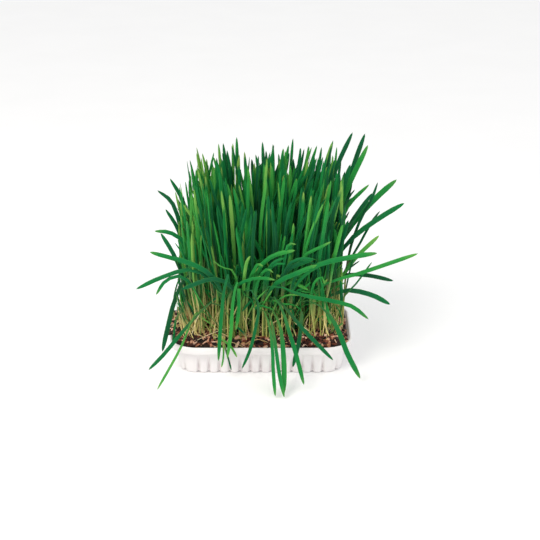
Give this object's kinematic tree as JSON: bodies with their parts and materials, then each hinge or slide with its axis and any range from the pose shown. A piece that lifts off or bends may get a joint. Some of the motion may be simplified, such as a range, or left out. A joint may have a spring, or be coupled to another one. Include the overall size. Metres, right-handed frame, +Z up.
{
  "type": "wheatgrass tray",
  "caption": "Young wheatgrass standing dense and upright in dark potting soil, in a low white ribbed tray, with longer leaves arching out at the sides and over the front edge.",
  "frame": {"origin": "centre of the tray's flat underside, on the surface that the tray stands on", "axes": "+X along the tray's length, to the right seen from the front; -Y towards the front, where leaves hang over the edge; +Z up"},
  "size_m": [0.287, 0.1991, 0.229],
  "materials": {
    "tray_plastic": "smooth satin white",
    "soil": "crumbly dark potting soil with bark",
    "leaf": "smooth, faintly ribbed living leaf"
  },
  "bodies": {
    "root": {"tray": "tray_plastic", "soil": "soil", "grass_row_1": "leaf", "grass_row_2": "leaf", "grass_row_3": "leaf", "grass_row_4": "leaf", "grass_row_5": "leaf", "grass_row_6": "leaf", "grass_row_7": "leaf"}
  },
  "joints": []
}
